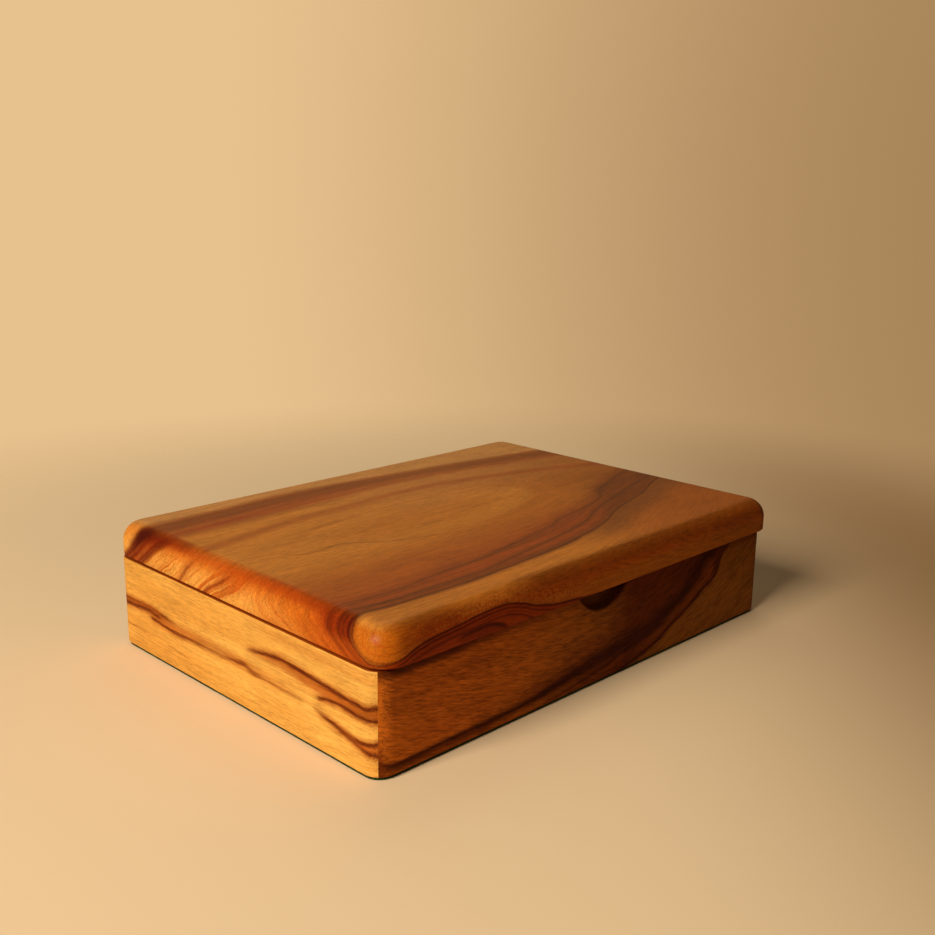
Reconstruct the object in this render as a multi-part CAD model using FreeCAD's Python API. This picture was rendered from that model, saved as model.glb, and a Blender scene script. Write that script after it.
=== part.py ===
import FreeCAD, Part
import math
import os

# A low hinged box of solid figured hardwood: four mitred boards, a rounded slab lid,
# two brass butt hinges at the back, a finger pull in the front and felt under the base.
# Lengths are in millimetres and angles in degrees.
# +X runs along the front, +Y towards the hinged back and +Z up.
# The origin is on the table, under the middle of the lid.

# Carcass of four mitred boards
BODY_LENGTH = 300.0
BODY_DEPTH = 216.0
WALL_HEIGHT = 48.9
WALL_THICKNESS = 12.0
CORNER_RADIUS = 9.0
EDGE_EASE = 0.8

# Hidden loose splines across the mitres
SPLINE_THICKNESS = 2.5
SPLINE_WIDTH = 8.0
SPLINE_INSET = 4.5
SPLINE_STOP_TOP = 12.0
SPLINE_STOP_BOTTOM = 4.0
SPLINE_CLEARANCE = 0.05

# Bottom panel in its rebate, with felt below and above it
BOTTOM_THICKNESS = 6.0
REBATE_WIDTH = 6.0
BOTTOM_CLEARANCE = 0.15
BASE_FELT_THICKNESS = 1.5
BASE_FELT_INSET = 0.8
LINING_THICKNESS = 2.0
LINING_CLEARANCE = 0.3

# Lid slab
LID_THICKNESS = 18.0
LID_OVERHANG_FRONT = 4.5
LID_OVERHANG_END = 1.0
LID_CORNER_RADIUS = 12.5
LID_ROUND_OVER = 10.5
LID_LOWER_EASE = 1.0
LID_GAP = 1.8

# Least flat left beside a fillet, and how close counts as touching
FILLET_MARGIN = 0.5
TOUCHING = 1e-6

# Scooped finger pull at the middle of the front board
FINGER_PULL_WIDTH = 38.0
FINGER_PULL_DROP = 10.5
FINGER_PULL_DEPTH = 8.0
FINGER_PULL_COVE = 6.0
FINGER_PULL_EASE = 1.2

# Felt buffers on the front board, under the lid
BUFFER_RADIUS = 3.5
BUFFER_FROM_END = 18.0
BUFFER_CLEARANCE = 0.05

# Brass butt hinges and the bevelled edges that stop the lid
HINGE_LENGTH = 38.0
HINGE_FROM_END = 50.0
HINGE_SETBACK = 3.2
LEAF_THICKNESS = 1.6
LEAF_MARGIN = 1.5
LEAF_CLEARANCE = 0.1
KNUCKLE_COUNT = 5
KNUCKLE_RADIUS = 2.6
KNUCKLE_GAP = 0.15
KNUCKLE_CLEARANCE = 0.25
PIN_RADIUS = 1.2
PIN_CLEARANCE = 0.05
PIN_DOME = 0.4
LID_OPENING_ANGLE = 95.0
STOP_CLEARANCE = 0.1

# Countersunk hinge screws
SCREWS_PER_LEAF = 3
SCREW_END_DISTANCE = 6.5
SCREW_HEAD_RADIUS = 1.85
SCREW_RADIUS = 0.9
SCREW_LENGTH = 9.0
SCREW_TIP_LENGTH = 2.5
SCREW_CLEARANCE = 0.05
SCREW_SLOT_WIDTH = 0.5
SCREW_SLOT_DEPTH = 0.45

# Places worked out from the sizes above
lid_length = BODY_LENGTH + 2 * LID_OVERHANG_END
lid_depth = BODY_DEPTH + LID_OVERHANG_FRONT
body_left = -BODY_LENGTH / 2
body_right = BODY_LENGTH / 2
body_back = lid_depth / 2
body_front = body_back - BODY_DEPTH
board_bottom = BASE_FELT_THICKNESS
board_top = board_bottom + WALL_HEIGHT
lid_bottom = board_top + LID_GAP
lid_top = lid_bottom + LID_THICKNESS
floor_top = board_bottom + BOTTOM_THICKNESS
hinge_y = body_back - HINGE_SETBACK
hinge_z = board_top + LID_GAP / 2
leaf_width = WALL_THICKNESS - HINGE_SETBACK - LEAF_MARGIN
barrel_radius = KNUCKLE_RADIUS + KNUCKLE_CLEARANCE
hinge_centres = {
    "left": body_left + HINGE_FROM_END,
    "right": body_right - HINGE_FROM_END,
}

UP = FreeCAD.Vector(0, 0, 1)
ALONG_X = FreeCAD.Vector(1, 0, 0)
ALONG_Y = FreeCAD.Vector(0, 1, 0)


# Shapes that several pieces are made of
def point(x, y, z):
    return FreeCAD.Vector(x, y, z)


def block(low, high):
    size = point(*high) - point(*low)
    return Part.makeBox(size.x, size.y, size.z, point(*low))


def prism(corners, along):
    return Part.Face(Part.makePolygon(corners + corners[:1])).extrude(along)


def rounded_block(low, high, radius):
    """A block whose four upright edges are rounded."""
    solid = block(low, high)
    upright = [e for e in solid.Edges if abs(e.tangentAt(e.FirstParameter).z) > 0.5]
    return solid.makeFillet(radius, upright)


def edges_at_height(solid, height):
    """The edges of a solid that lie in one level plane."""
    return [
        e
        for e in solid.Edges
        if abs(e.BoundBox.ZMin - height) < TOUCHING and abs(e.BoundBox.ZMax - height) < TOUCHING
    ]


def rod_along_x(x_low, x_high, radius):
    """A round bar on the hinge axis."""
    return Part.makeCylinder(radius, x_high - x_low, point(x_low, hinge_y, hinge_z), ALONG_X)


# Carcass boards
def carcass_ring():
    """The rectangle of walls before it is parted at the mitres."""
    ring = rounded_block(
        (body_left, body_front, board_bottom), (body_right, body_back, board_top), CORNER_RADIUS
    )
    outer_edges = edges_at_height(ring, board_top) + edges_at_height(ring, board_bottom)
    ring = ring.makeFillet(EDGE_EASE, outer_edges)
    inside = block(
        (body_left + WALL_THICKNESS, body_front + WALL_THICKNESS, board_bottom),
        (body_right - WALL_THICKNESS, body_back - WALL_THICKNESS, board_top),
    )
    ring = ring.cut(inside)
    top_edges = edges_at_height(ring, board_top)
    inner_edges = [e for e in top_edges if inside.distToShape(e)[0] < TOUCHING]
    return ring.makeFillet(EDGE_EASE, inner_edges)


def rebate_space(clearance):
    """The room for the bottom panel, cut into the lower inside edges of the boards."""
    reach = WALL_THICKNESS - REBATE_WIDTH + clearance
    return block(
        (body_left + reach, body_front + reach, board_bottom),
        (body_right - reach, body_back - reach, floor_top),
    )


def mitred_region(side):
    """The part of the ring that belongs to one board, between its two mitres."""
    outer = {
        "front_left": point(body_left, body_front, board_bottom),
        "front_right": point(body_right, body_front, board_bottom),
        "back_right": point(body_right, body_back, board_bottom),
        "back_left": point(body_left, body_back, board_bottom),
    }
    inner = {
        name: p
        - point(
            math.copysign(WALL_THICKNESS, p.x),
            WALL_THICKNESS if name.startswith("back") else -WALL_THICKNESS,
            0,
        )
        for name, p in outer.items()
    }
    ends = {
        "front": ("front_left", "front_right"),
        "right": ("front_right", "back_right"),
        "back": ("back_right", "back_left"),
        "left": ("back_left", "front_left"),
    }[side]
    corners = [outer[ends[0]], outer[ends[1]], inner[ends[1]], inner[ends[0]]]
    return prism(corners, UP * WALL_HEIGHT)


def spline_at(corner, clearance):
    """A flat key that stands across one mitre, square to the joint."""
    toward_x = -1 if corner.endswith("right") else 1
    toward_y = -1 if corner.startswith("back") else 1
    setback = WALL_THICKNESS - SPLINE_INSET
    x = (body_right if toward_x < 0 else body_left) + toward_x * setback
    y = (body_back if toward_y < 0 else body_front) + toward_y * setback
    half_width = SPLINE_WIDTH / 2 + clearance
    half_thickness = SPLINE_THICKNESS / 2 + clearance
    low = floor_top + SPLINE_STOP_BOTTOM - clearance
    high = board_top - SPLINE_STOP_TOP + clearance
    key = block((-half_width, -half_thickness, low), (half_width, half_thickness, high))
    key.rotate(point(0, 0, 0), UP, -45 * toward_x * toward_y)
    key.translate(point(x, y, 0))
    return key


SPLINE_CORNERS = ("front_left", "front_right", "back_left", "back_right")


def finger_pull_cutter():
    """The scoop as a turned form on a level axis: eased mouth, round wall, coved floor."""
    half = FINGER_PULL_WIDTH / 2
    radius = (half * half + FINGER_PULL_DROP * FINGER_PULL_DROP) / (2 * FINGER_PULL_DROP)
    centre_z = board_top - FINGER_PULL_DROP + radius
    cove = min(FINGER_PULL_COVE, FINGER_PULL_DEPTH - FINGER_PULL_EASE - FILLET_MARGIN)
    quarter = math.sqrt(0.5)

    def at(r, depth):
        return point(0, body_front + depth, centre_z - r)

    mouth = Part.Arc(
        at(radius + FINGER_PULL_EASE, 0),
        at(radius + FINGER_PULL_EASE * (1 - quarter), FINGER_PULL_EASE * (1 - quarter)),
        at(radius, FINGER_PULL_EASE),
    ).toShape()
    floor_cove = Part.Arc(
        at(radius, FINGER_PULL_DEPTH - cove),
        at(radius - cove * (1 - quarter), FINGER_PULL_DEPTH - cove * (1 - quarter)),
        at(radius - cove, FINGER_PULL_DEPTH),
    ).toShape()
    outline = [
        mouth,
        Part.makeLine(at(radius, FINGER_PULL_EASE), at(radius, FINGER_PULL_DEPTH - cove)),
        floor_cove,
        Part.makeLine(at(radius - cove, FINGER_PULL_DEPTH), at(0, FINGER_PULL_DEPTH)),
        Part.makeLine(at(0, FINGER_PULL_DEPTH), at(0, 0)),
        Part.makeLine(at(0, 0), at(radius + FINGER_PULL_EASE, 0)),
    ]
    return Part.Face(Part.Wire(outline)).revolve(at(0, 0), ALONG_Y, 360)


# Hinges
def screw_places(centre_x):
    """X of each screw in a leaf, from one end to the other."""
    first = centre_x - HINGE_LENGTH / 2 + SCREW_END_DISTANCE
    step = (HINGE_LENGTH - 2 * SCREW_END_DISTANCE) / (SCREWS_PER_LEAF - 1)
    return [first + step * i for i in range(SCREWS_PER_LEAF)]


screw_y = hinge_y - (barrel_radius + leaf_width) / 2


def screw_form(x, face_z, inward, clearance):
    """A countersunk screw without its slot. Inward is 1 for a screw that points up."""
    head = SCREW_HEAD_RADIUS + clearance
    shank = SCREW_RADIUS + clearance
    profile = [
        (0, 0),
        (head, 0),
        (shank, head - shank),
        (shank, SCREW_LENGTH - SCREW_TIP_LENGTH),
        (0, SCREW_LENGTH + clearance),
    ]
    corners = [point(x + r, screw_y, face_z + inward * depth) for r, depth in profile]
    face = Part.Face(Part.makePolygon(corners + corners[:1]))
    return face.revolve(point(x, screw_y, face_z), UP, 360)


def screw(x, face_z, inward):
    slot_end = face_z + inward * SCREW_SLOT_DEPTH
    slot = block(
        (x - SCREW_HEAD_RADIUS, screw_y - SCREW_SLOT_WIDTH / 2, min(face_z, slot_end)),
        (x + SCREW_HEAD_RADIUS, screw_y + SCREW_SLOT_WIDTH / 2, max(face_z, slot_end)),
    )
    return screw_form(x, face_z, inward, 0).cut(slot)


def knuckle_spans(centre_x, of_box):
    """The X ranges of one leaf's knuckles. The box leaf has the outer ones."""
    pitch = HINGE_LENGTH / KNUCKLE_COUNT
    start = centre_x - HINGE_LENGTH / 2
    spans = []
    for i in range(0 if of_box else 1, KNUCKLE_COUNT, 2):
        low = start + i * pitch + (KNUCKLE_GAP / 2 if i > 0 else 0)
        high = start + (i + 1) * pitch - (KNUCKLE_GAP / 2 if i < KNUCKLE_COUNT - 1 else 0)
        spans.append((low, high))
    return spans


def hinge_leaf(centre_x, of_box):
    """A brass leaf: a flat plate with its knuckles, bored for the pin and drilled for screws."""
    face_z = board_top if of_box else lid_bottom
    far_z = face_z - LEAF_THICKNESS if of_box else face_z + LEAF_THICKNESS
    leaf = block(
        (centre_x - HINGE_LENGTH / 2, hinge_y - leaf_width, min(face_z, far_z)),
        (centre_x + HINGE_LENGTH / 2, hinge_y, max(face_z, far_z)),
    )
    for low, high in knuckle_spans(centre_x, not of_box):
        leaf = leaf.cut(rod_along_x(low - KNUCKLE_GAP, high + KNUCKLE_GAP, barrel_radius))
    for low, high in knuckle_spans(centre_x, of_box):
        leaf = leaf.fuse(rod_along_x(low, high, KNUCKLE_RADIUS))
    bore = PIN_RADIUS if of_box else PIN_RADIUS + PIN_CLEARANCE
    leaf = leaf.cut(
        rod_along_x(centre_x - HINGE_LENGTH / 2, centre_x + HINGE_LENGTH / 2, bore)
    )
    inward = -1 if of_box else 1
    for x in screw_places(centre_x):
        leaf = leaf.cut(screw_form(x, face_z, inward, SCREW_CLEARANCE))
    return leaf.removeSplitter()


def hinge_pin(centre_x):
    """The pin, with its two ends lightly domed."""
    half = HINGE_LENGTH / 2
    pin = rod_along_x(centre_x - half, centre_x + half, PIN_RADIUS)
    ends = [e for e in pin.Edges if e.BoundBox.XLength < TOUCHING]
    return pin.makeFillet(PIN_DOME, ends)


def hinge_screws(centre_x, of_box):
    face_z = board_top if of_box else lid_bottom
    inward = -1 if of_box else 1
    return Part.makeCompound([screw(x, face_z, inward) for x in screw_places(centre_x)])


def hinge_housing(centre_x, of_box):
    """What is cut from the wood for one hinge: a shallow bed, room for the barrel, pilot holes."""
    face_z = board_top if of_box else lid_bottom
    far_z = face_z - LEAF_THICKNESS if of_box else face_z + LEAF_THICKNESS
    half = HINGE_LENGTH / 2 + LEAF_CLEARANCE
    housing = block(
        (centre_x - half, hinge_y - leaf_width - LEAF_CLEARANCE, min(face_z, far_z)),
        (centre_x + half, hinge_y, max(face_z, far_z)),
    )
    housing = housing.fuse(rod_along_x(centre_x - half, centre_x + half, barrel_radius))
    inward = -1 if of_box else 1
    for x in screw_places(centre_x):
        housing = housing.fuse(screw_form(x, face_z, inward, SCREW_CLEARANCE))
    return housing


def stop_bevel(of_box):
    """The bevel along the back edge. Its face and the other piece's meet when the lid is open."""
    slope = math.tan(math.radians(LID_OPENING_ANGLE / 2))
    lift = STOP_CLEARANCE / math.cos(math.radians(LID_OPENING_ANGLE / 2))
    side = -1 if of_box else 1
    face_z = board_top if of_box else lid_bottom
    start_y = hinge_y + (LID_GAP / 2 - lift) / slope
    back_z = hinge_z + side * (slope * HINGE_SETBACK + lift)
    corners = [
        point(-lid_length / 2, start_y, face_z),
        point(-lid_length / 2, body_back, face_z),
        point(-lid_length / 2, body_back, back_z),
    ]
    return prism(corners, ALONG_X * lid_length)


# Finished pieces
def carcass_board(side):
    board = carcass_ring().common(mitred_region(side)).cut(rebate_space(0))
    for corner in SPLINE_CORNERS:
        if side in corner:
            board = board.cut(spline_at(corner, SPLINE_CLEARANCE))
    return board


def front_board():
    return carcass_board("front").cut(finger_pull_cutter())


def bevelled_end_board(side):
    return carcass_board(side).cut(stop_bevel(True))


def back_board():
    board = carcass_board("back").cut(stop_bevel(True))
    for centre_x in hinge_centres.values():
        board = board.cut(hinge_housing(centre_x, True))
    return board


def bottom_panel():
    return rebate_space(BOTTOM_CLEARANCE)


def base_felt():
    return rounded_block(
        (body_left + BASE_FELT_INSET, body_front + BASE_FELT_INSET, 0),
        (body_right - BASE_FELT_INSET, body_back - BASE_FELT_INSET, BASE_FELT_THICKNESS),
        CORNER_RADIUS - BASE_FELT_INSET,
    )


def floor_lining():
    reach = WALL_THICKNESS + LINING_CLEARANCE
    return block(
        (body_left + reach, body_front + reach, floor_top),
        (body_right - reach, body_back - reach, floor_top + LINING_THICKNESS),
    )


def lid_buffers():
    places = [body_left + BUFFER_FROM_END, body_right - BUFFER_FROM_END]
    middle = body_front + WALL_THICKNESS / 2
    height = LID_GAP - BUFFER_CLEARANCE
    return Part.makeCompound(
        [Part.makeCylinder(BUFFER_RADIUS, height, point(x, middle, board_top)) for x in places]
    )


def lid_panel():
    lid = rounded_block(
        (-lid_length / 2, -lid_depth / 2, lid_bottom),
        (lid_length / 2, lid_depth / 2, lid_top),
        LID_CORNER_RADIUS,
    )
    round_over = min(
        LID_ROUND_OVER,
        LID_CORNER_RADIUS - FILLET_MARGIN,
        LID_THICKNESS - LID_LOWER_EASE - FILLET_MARGIN,
    )
    lid = lid.makeFillet(round_over, edges_at_height(lid, lid_top))
    lid = lid.makeFillet(LID_LOWER_EASE, edges_at_height(lid, lid_bottom))
    lid = lid.cut(stop_bevel(False))
    for centre_x in hinge_centres.values():
        lid = lid.cut(hinge_housing(centre_x, False))
    return lid


def all_pieces():
    pieces = {
        "front_board": front_board(),
        "back_board": back_board(),
        "left_end_board": bevelled_end_board("left"),
        "right_end_board": bevelled_end_board("right"),
        "bottom_panel": bottom_panel(),
        "base_felt": base_felt(),
        "floor_lining": floor_lining(),
        "lid_buffers": lid_buffers(),
        "lid_panel": lid_panel(),
    }
    for corner in SPLINE_CORNERS:
        pieces[corner + "_spline"] = spline_at(corner, 0)
    for side, centre_x in hinge_centres.items():
        pieces[side + "_hinge_box_leaf"] = hinge_leaf(centre_x, True)
        pieces[side + "_hinge_lid_leaf"] = hinge_leaf(centre_x, False)
        pieces[side + "_hinge_pin"] = hinge_pin(centre_x)
        pieces[side + "_hinge_box_screws"] = hinge_screws(centre_x, True)
        pieces[side + "_hinge_lid_screws"] = hinge_screws(centre_x, False)
    return pieces


os.makedirs("parts", exist_ok=True)
for name, shape in all_pieces().items():
    shape.exportStep(os.path.join("parts", name + ".step"))
    print(name, "solids", len(shape.Solids), "volume", round(shape.Volume, 1), shape.isValid())
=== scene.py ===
# %% [markdown]
# # A hinged box of figured hardwood
#
# The real box is four mitred boards, a thick slab lid with rounded edges, two brass hinges at the
# back and green felt under the base. Its shape is finished construction, so it comes in as a fixed
# frame and isn't remodelled. What is left to make is how it looks: wood that carries the streaks
# of its own tree, brass, and felt that reads as cloth.

# %% Load the construction as a fixed frame
import math
import bmesh
import bpy
from mathutils import Matrix, Vector


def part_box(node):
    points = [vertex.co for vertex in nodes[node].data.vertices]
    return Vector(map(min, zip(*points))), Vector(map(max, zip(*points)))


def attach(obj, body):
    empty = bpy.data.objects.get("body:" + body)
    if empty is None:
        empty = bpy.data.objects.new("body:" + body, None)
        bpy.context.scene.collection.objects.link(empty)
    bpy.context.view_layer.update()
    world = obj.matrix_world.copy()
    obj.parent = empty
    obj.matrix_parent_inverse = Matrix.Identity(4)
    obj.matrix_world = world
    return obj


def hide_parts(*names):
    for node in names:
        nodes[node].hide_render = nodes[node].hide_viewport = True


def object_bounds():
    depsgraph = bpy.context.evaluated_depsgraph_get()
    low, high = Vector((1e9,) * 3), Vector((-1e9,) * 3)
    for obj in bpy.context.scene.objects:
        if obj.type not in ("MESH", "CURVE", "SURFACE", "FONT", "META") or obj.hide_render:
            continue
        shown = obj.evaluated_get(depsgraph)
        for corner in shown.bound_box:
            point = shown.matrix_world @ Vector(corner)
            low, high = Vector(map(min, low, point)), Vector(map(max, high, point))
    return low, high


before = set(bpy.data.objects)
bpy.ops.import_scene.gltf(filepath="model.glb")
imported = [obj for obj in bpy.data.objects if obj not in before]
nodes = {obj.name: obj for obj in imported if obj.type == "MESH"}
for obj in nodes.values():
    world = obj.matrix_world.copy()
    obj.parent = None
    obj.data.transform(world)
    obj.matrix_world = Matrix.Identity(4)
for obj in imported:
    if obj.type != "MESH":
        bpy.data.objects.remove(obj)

construction_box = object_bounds()
MM = 0.001
box_mm = [[round(v / MM, 1) for v in corner] for corner in construction_box]
print("nodes", len(nodes), "box in mm", box_mm)

# %% [markdown]
# ## Where the camera stands
#
# The picture was taken with the near corner of the box towards the camera and a little below it. A
# camera can be placed by eye, but here its place was found from the box's straight edges, whose
# sizes are known, and is written as a point, three turns and a focal length in pixels.

# %% Camera
FRAME_PIXELS = 935
FOCAL_PIXELS = 1138.2
SENSOR_MM = 36.0
EYE = Vector((-0.4310, -0.4382, 0.2484))
VIEW_YAW = math.radians(44.99)
VIEW_PITCH = math.radians(14.11)
VIEW_ROLL = math.radians(0.637)


def place_camera():
    bpy.ops.object.camera_add()
    camera = bpy.context.object
    camera.name = "camera"
    camera.data.sensor_width = SENSOR_MM
    camera.data.lens = SENSOR_MM * FOCAL_PIXELS / FRAME_PIXELS
    camera.data.dof.use_dof = False
    upright = math.pi / 2
    turn = Matrix.Rotation(VIEW_YAW - upright, 4, "Z")
    turn = turn @ Matrix.Rotation(upright - VIEW_PITCH, 4, "X")
    turn = turn @ Matrix.Rotation(VIEW_ROLL, 4, "Z")
    camera.matrix_world = Matrix.Translation(EYE) @ turn
    return camera


bpy.context.scene.camera = place_camera()
print("camera at", [round(v, 3) for v in EYE], "lens", round(bpy.context.scene.camera.data.lens, 1))

# %% [markdown]
# ## Writing shader maths as plain expressions
#
# Wood is mostly arithmetic on a point's place in the board. Wiring dozens of Math nodes by hand is
# hard to read, so one small class wraps a socket: adding or multiplying two wires adds the node
# that does it, and `node` adds any other kind of node.


# %% The wire class
class Wire:
    """A shader socket that can be used in Python expressions."""

    def __init__(self, tree, socket):
        self.tree = tree
        self.socket = socket

    def node(self, kind, settings=None, sockets=None, output=0):
        """Adds a node to the same material: settings first, then links, numbers or RGB colours."""
        made = self.tree.nodes.new("ShaderNode" + kind)
        for name, value in (settings or {}).items():
            setattr(made, name, value)
        for key, value in (sockets or {}).items():
            if isinstance(value, Wire):
                value.plug(made, key)
            else:
                made.inputs[key].default_value = (*value, 1) if isinstance(value, tuple) else value
        return Wire(self.tree, made.outputs[output])

    def plug(self, node, name):
        """Links this wire to a socket of a node that is there already."""
        self.tree.links.new(self.socket, node.inputs[name])

    def math(self, operation, *values):
        return self.node("Math", {"operation": operation}, dict(enumerate(values)))

    def __add__(self, other):
        return self.math("ADD", self, other)

    __radd__ = __add__

    def __sub__(self, other):
        return self.math("SUBTRACT", self, other)

    def __rsub__(self, other):
        return self.math("SUBTRACT", other, self)

    def __mul__(self, other):
        return self.math("MULTIPLY", self, other)

    __rmul__ = __mul__

    def __truediv__(self, other):
        return self.math("DIVIDE", self, other)

    def __rtruediv__(self, other):
        return self.math("DIVIDE", other, self)

    def __abs__(self):
        return self.math("ABSOLUTE", self)


print("wire class ready")

# %% [markdown]
# ## Small shader words
#
# A few words come up in every finish, and each is one function, so that the recipes read as
# recipes. A figure is built as a painter does it: coats are laid over a ground, and each coat is a
# mask, which says where it shows, and a tone. Places and sizes in the masks are millimetres on the
# board, and a plain factor is how well the coat covers, from 0 to 1.


# %% Small shader words
def rise(value, low, high):
    """0 below low, 1 above high and smooth in between."""
    settings = {"interpolation_type": "SMOOTHSTEP"}
    return value.node("MapRange", settings, {0: value, 1: low, 2: high, 3: 0.0, 4: 1.0})


def fall(value, low, high):
    """1 below low, 0 above high and smooth in between."""
    return 1 - rise(value, low, high)


def near(distance, half_width, softness):
    """1 within half_width of a line and 0 outside, with a soft edge."""
    return fall(abs(distance), half_width - softness, half_width + softness)


def oval(across, up, middle, half):
    """0 in the middle of an oval and 1 on its edge."""
    aside = (across - middle[0]) / half[0]
    above = (up - middle[1]) / half[1]
    return aside * aside + above * above


def noise(places, sizes, detail=2.0, roughness=0.5):
    """A noise whose lumps have the given sizes, one for each of the three places."""
    first, second, third = [place / size for place, size in zip(places, sizes)]
    vector = first.node("CombineXYZ", None, {0: first, 1: second, 2: third})
    sockets = {"Vector": vector, "Scale": 1.0, "Detail": detail, "Roughness": roughness}
    return vector.node("TexNoise", {"noise_dimensions": "3D"}, sockets)


def mix(factor, first, second):
    return factor.node("Mix", {"data_type": "RGBA"}, {0: factor, 6: first, 7: second}, 2)


def lay(figure, *coats):
    """Lays coats over a figure, one after another. A coat is its mask and its tone."""
    for mask, tone in coats:
        figure = mix(mask, figure, tone)
    return figure


def shade(colour, factor):
    """A colour times a number that varies over the surface."""
    return factor.node("VectorMath", {"operation": "SCALE"}, {0: colour, "Scale": factor})


def drawn_curve(along, points, low=0.0, high=1.0):
    """A drawn line: points give its value, from low to high, at places along a board."""
    start, end = min(points), max(points)
    drawn = along.node("FloatCurve", None, {"Value": (along - start) / (end - start)})
    mapping = drawn.socket.node.mapping
    mapping.use_clip = False
    handles = mapping.curves[0].points
    while len(handles) < len(points):
        handles.new(0.5, 0.5)
    for handle, (place, value) in zip(handles, points.items()):
        handle.location = ((place - start) / (end - start), (value - low) / (high - low))
    mapping.update()
    return low + (high - low) * drawn


print("shader words ready")

# %% [markdown]
# ## Starting and closing a finish
#
# Every finish reads where a point is on the object, in millimetres, and ends in one surface
# shader. Numbers that are the same all over are set on the shader itself, and only what changes
# over the surface is wired in.


# %% Material start and end
def start_finish(name, pieces):
    """Puts a new material on pieces. Gives its shader and the wires for X, Y and Z in mm."""
    material = bpy.data.materials.new(name)
    material.use_nodes = True
    for piece in pieces:
        piece.data.materials.clear()
        piece.data.materials.append(material)
    tree = material.node_tree
    shader = next(n for n in tree.nodes if n.type == "BSDF_PRINCIPLED")
    place = Wire(tree, tree.nodes.new("ShaderNodeTexCoord").outputs["Object"])
    scaled = place.node("VectorMath", {"operation": "SCALE"}, {0: place, "Scale": 1 / MM})
    return shader, [scaled.node("SeparateXYZ", None, {0: scaled}, i) for i in range(3)]


def close_finish(shader, colour, roughness, height, depth_mm, constants):
    """Wires colour, roughness and a bump height into the shader."""
    bump = height.node("Bump", None, {"Distance": depth_mm * MM, "Height": height, "Strength": 1.0})
    colour.plug(shader, "Base Color")
    roughness.plug(shader, "Roughness")
    bump.plug(shader, "Normal")
    for name, value in constants.items():
        shader.inputs[name].default_value = value


def ending_in(*words):
    """The CAD nodes whose names end in one of the words."""
    return [nodes[name] for name in nodes if name.endswith(words)]


print("finish helpers ready")

# %% [markdown]
# ## Grain that every board shares
#
# Whatever its figure, each board has the same fine structure: fibres that run with the growth
# layers, short open pores along the grain, and a soft mottling where the fibres dip and catch the
# light. The figure is drawn for each board, and this part is added on top of it. The pores are
# small pits, so they also go into the bump and make the satin oil a little duller there.

# %% Fine grain
FIBRE_SIZE = (42.0, 1.1, 6.0)
DASH_SIZE = (7.0, 0.9, 0.9)
PORE_SIZE = (4.6, 0.45, 0.45)
CROWD_SIZE = (60.0, 7.0, 7.0)
MOTTLE_SIZE = (26.0, 9.0, 9.0)
SWAY_SIZE = (48.0, 13.0, 13.0)
RIPPLE_SIZE = (11.0, 2.6, 2.6)
FEATHER_SIZE = (24.0, 0.7, 0.7)
LAYER_LENGTH = 130.0
GRAIN_RELIEF_MM = 0.05
OILED_ROUGHNESS = 0.40
SATIN_OIL = {"Coat Roughness": 0.33, "Specular IOR Level": 0.0}
LID_GRAIN = {"pores": 0.2, "dashes": 0.9, "coat": 0.30}
FRONT_GRAIN = {"pores": 0.26, "dashes": 1.8, "coat": 0.08}
PLAIN_GRAIN = {"pores": 0.22, "dashes": 0.5, "coat": 0.08}


def finish_wood(shader, figure, places, layer, grain):
    """Adds fibres, pores and mottling to a board's figure and closes the finish.

    Places run along the grain, across it and in depth, and layer follows the growth layers.
    """
    along, depth = places[0], places[2]
    fibres = noise((along, layer, depth), FIBRE_SIZE, 4.0, 0.6)
    dashes = noise(places, DASH_SIZE, 2.0, 0.6)
    pore_field = noise(places, PORE_SIZE, 1.0)
    crowding = noise(places, CROWD_SIZE)
    pores = rise(pore_field + 0.3 * (crowding - 0.5), 0.54, 0.72)
    mottle = noise(places, MOTTLE_SIZE)
    tone = 1 + 0.8 * (fibres - 0.5) + grain["dashes"] * (dashes - 0.5) + 0.4 * (mottle - 0.5)
    colour = shade(figure, tone * (1 - grain["pores"] * pores))
    roughness = OILED_ROUGHNESS + 0.16 * pores + 0.10 * (fibres - 0.5)
    oil = {"Coat Weight": grain["coat"], **SATIN_OIL}
    close_finish(shader, colour, roughness, 0.3 * fibres - pores, GRAIN_RELIEF_MM, oil)


def waver(places):
    """How far a growth layer strays from a drawn line, and the slow sway that is part of it."""
    sway = noise(places, SWAY_SIZE)
    ripple = noise(places, RIPPLE_SIZE)
    feather = noise(places, FEATHER_SIZE, 3.0)
    return 2.2 * (sway - 0.5) + 1.0 * (ripple - 0.5) + 1.5 * (feather - 0.5), sway


def layering(along, layer, spacing):
    """Fine dark and pale layers that follow a drawn line for a long way."""
    return noise((along, layer, 0.5), (LAYER_LENGTH, spacing, 1.0), 3.0, 0.6)


print("fine grain ready")

# %% [markdown]
# ## The lid's wood
#
# The lid is one slab, and its dark growth layers lie slanted in it. They come out on the top as
# long streaks, and the left end and the front edge cut the same layers again. A picture laid on
# top would break at the rounded edges. Instead each point is carried along its own layer up to the
# top face, and the streaks are drawn there once. First come the colours and the drawn lines, each
# of which gives a Y on the top face at some places X along the lid.

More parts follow.
